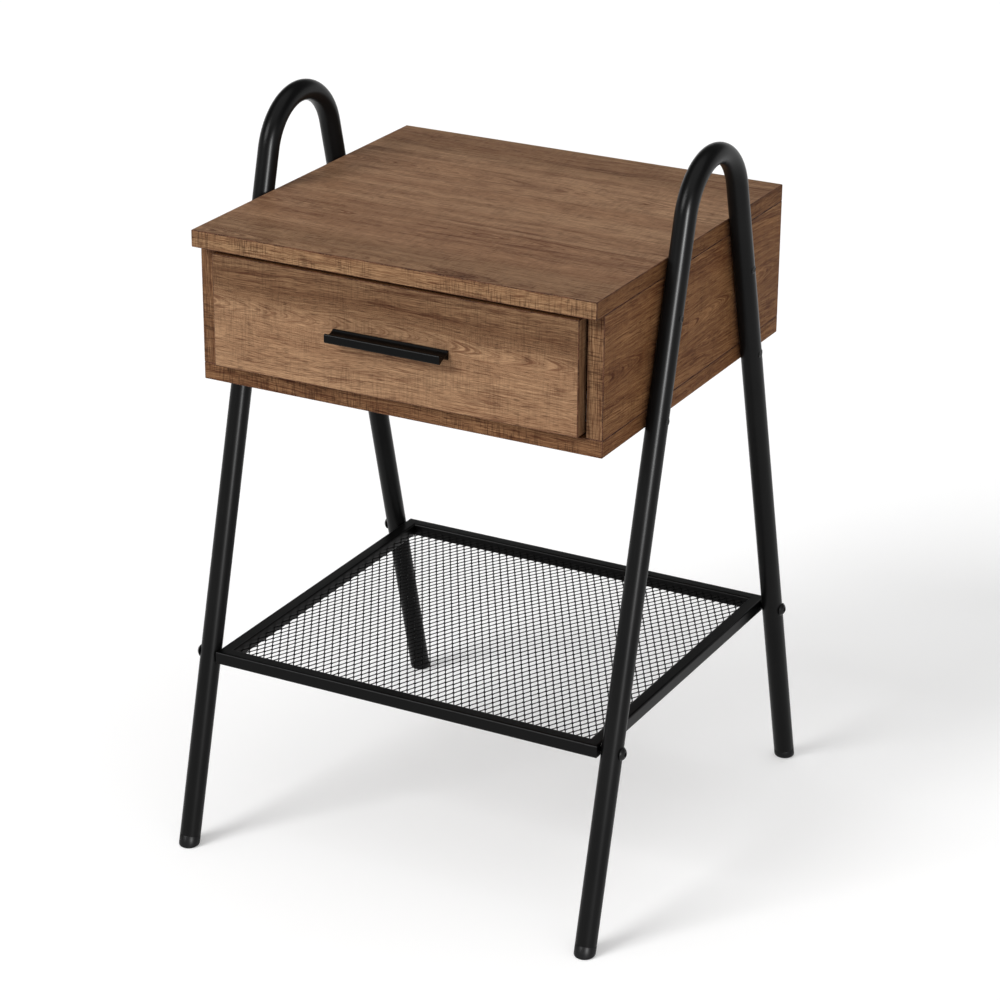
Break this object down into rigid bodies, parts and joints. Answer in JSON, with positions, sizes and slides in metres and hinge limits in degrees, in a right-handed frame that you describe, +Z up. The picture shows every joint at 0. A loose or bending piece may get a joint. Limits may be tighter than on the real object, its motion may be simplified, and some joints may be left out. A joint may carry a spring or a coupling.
{
  "type": "side table with drawer",
  "caption": "Wooden side table with a drawer and a mesh shelf, carried between two black tube frames whose legs join in a hoop above the top.",
  "frame": {"origin": "on the floor, midway between the two side frames and midway between their front and rear feet", "axes": "+Z up, +X to the right seen from the front, front of the drawer towards -Y"},
  "size_m": [0.4252, 0.4416, 0.6579],
  "materials": {
    "wood_top": "brown wood-grain laminate, grain along X, satin",
    "wood_cabinet": "brown wood-grain laminate, grain along Y, satin",
    "wood_front": "brown wood-grain laminate, grain along X, satin",
    "wood_drawer": "brown wood-grain foil, satin",
    "hardboard": "thin brown board, matt",
    "dowel_wood": "plain beech, matt",
    "frame_black": "black powder coat, satin",
    "mesh_black": "black powder coat, satin",
    "bolt_black": "black oxide, satin",
    "handle_black": "black powder coat, satin",
    "cap_black": "black moulded plastic, fine grain",
    "runner_white": "white powder coat, satin",
    "roller_plastic": "off-white nylon",
    "zinc_screws": "zinc plated, bright",
    "die_cast": "die-cast zinc, dull"
  },
  "bodies": {
    "table": {"top_panel": "wood_top", "bottom_panel": "wood_cabinet", "side_panel_left": "wood_cabinet", "side_panel_right": "wood_cabinet", "back_panel": "hardboard", "cabinet_runner_left": "runner_white", "cabinet_runner_right": "runner_white", "cabinet_roller_pins": "zinc_screws", "cabinet_runner_screws": "zinc_screws", "side_frame_left": "frame_black", "side_frame_right": "frame_black", "foot_cap_front_left": "cap_black", "foot_cap_front_right": "cap_black", "foot_cap_rear_left": "cap_black", "foot_cap_rear_right": "cap_black", "frame_bolts": "bolt_black", "board_inserts": "zinc_screws", "shelf_frame": "frame_black", "shelf_mesh": "mesh_black", "shelf_bolts": "bolt_black", "shelf_nuts": "zinc_screws", "cam_locks": "die_cast", "cam_bolts": "zinc_screws", "long_screws": "zinc_screws", "wood_dowels": "dowel_wood"},
    "drawer": {"drawer_front": "wood_front", "drawer_side_left": "wood_drawer", "drawer_side_right": "wood_drawer", "drawer_back": "wood_drawer", "drawer_bottom": "hardboard", "drawer_handle": "handle_black", "handle_screws": "zinc_screws", "drawer_cam_locks": "die_cast", "drawer_cam_bolts": "zinc_screws", "drawer_back_screws": "zinc_screws", "drawer_bottom_screws": "zinc_screws", "drawer_runner_left": "runner_white", "drawer_runner_right": "runner_white", "drawer_roller_pins": "zinc_screws", "drawer_runner_screws": "zinc_screws"},
    "fixed_roller_left": {"cabinet_roller_left": "roller_plastic"},
    "fixed_roller_right": {"cabinet_roller_right": "roller_plastic"},
    "moving_roller_left": {"drawer_roller_left": "roller_plastic"},
    "moving_roller_right": {"drawer_roller_right": "roller_plastic"}
  },
  "joints": [
    {"name": "drawer_slide", "type": "slide", "parent": "table", "child": "drawer", "axis": [0, -1, 0], "range_m": [0, 0.235]},
    {"name": "fixed_roller_left_turn", "type": "hinge", "parent": "table", "child": "fixed_roller_left", "pos_m": [-0.169, -0.161, 0.4755], "axis": [1, 0, 0], "continuous": true},
    {"name": "fixed_roller_right_turn", "type": "hinge", "parent": "table", "child": "fixed_roller_right", "pos_m": [0.169, -0.161, 0.4755], "axis": [1, 0, 0], "continuous": true},
    {"name": "moving_roller_left_turn", "type": "hinge", "parent": "drawer", "child": "moving_roller_left", "pos_m": [-0.1684, 0.118, 0.4745], "axis": [1, 0, 0], "continuous": true},
    {"name": "moving_roller_right_turn", "type": "hinge", "parent": "drawer", "child": "moving_roller_right", "pos_m": [0.1684, 0.118, 0.4745], "axis": [1, 0, 0], "continuous": true}
  ],
  "couplings": [
    {"joint": "fixed_roller_left_turn", "follows": "drawer_slide", "rad_per_m": 142.86},
    {"joint": "fixed_roller_right_turn", "follows": "drawer_slide", "rad_per_m": 142.86},
    {"joint": "moving_roller_left_turn", "follows": "drawer_slide", "rad_per_m": 142.86},
    {"joint": "moving_roller_right_turn", "follows": "drawer_slide", "rad_per_m": 142.86}
  ]
}
